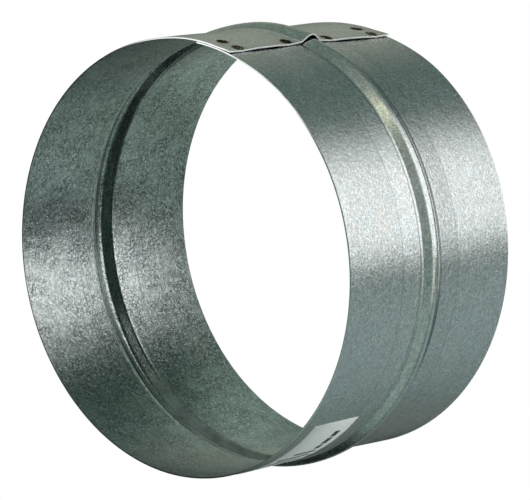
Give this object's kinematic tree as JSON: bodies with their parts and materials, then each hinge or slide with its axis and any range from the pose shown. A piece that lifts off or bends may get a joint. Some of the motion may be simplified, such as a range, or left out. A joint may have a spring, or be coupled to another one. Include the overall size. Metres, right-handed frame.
{
  "type": "duct connector",
  "caption": "Straight round sheet-metal duct connector with a raised stop bead round its middle, plain spigots at both ends and a spot-welded lap seam.",
  "frame": {"origin": "on the ring's axis, at the rear rim that it stands on", "axes": "+Z along the duct towards the front rim, +X through the free edge of the lap seam"},
  "size_m": [0.165, 0.1646, 0.088],
  "materials": {
    "galvanised_steel": "bright galvanised sheet with a fine spangle",
    "label_paper": "matt self-adhesive paper"
  },
  "bodies": {
    "root": {"sleeve": "galvanised_steel", "label": "label_paper"}
  },
  "joints": []
}
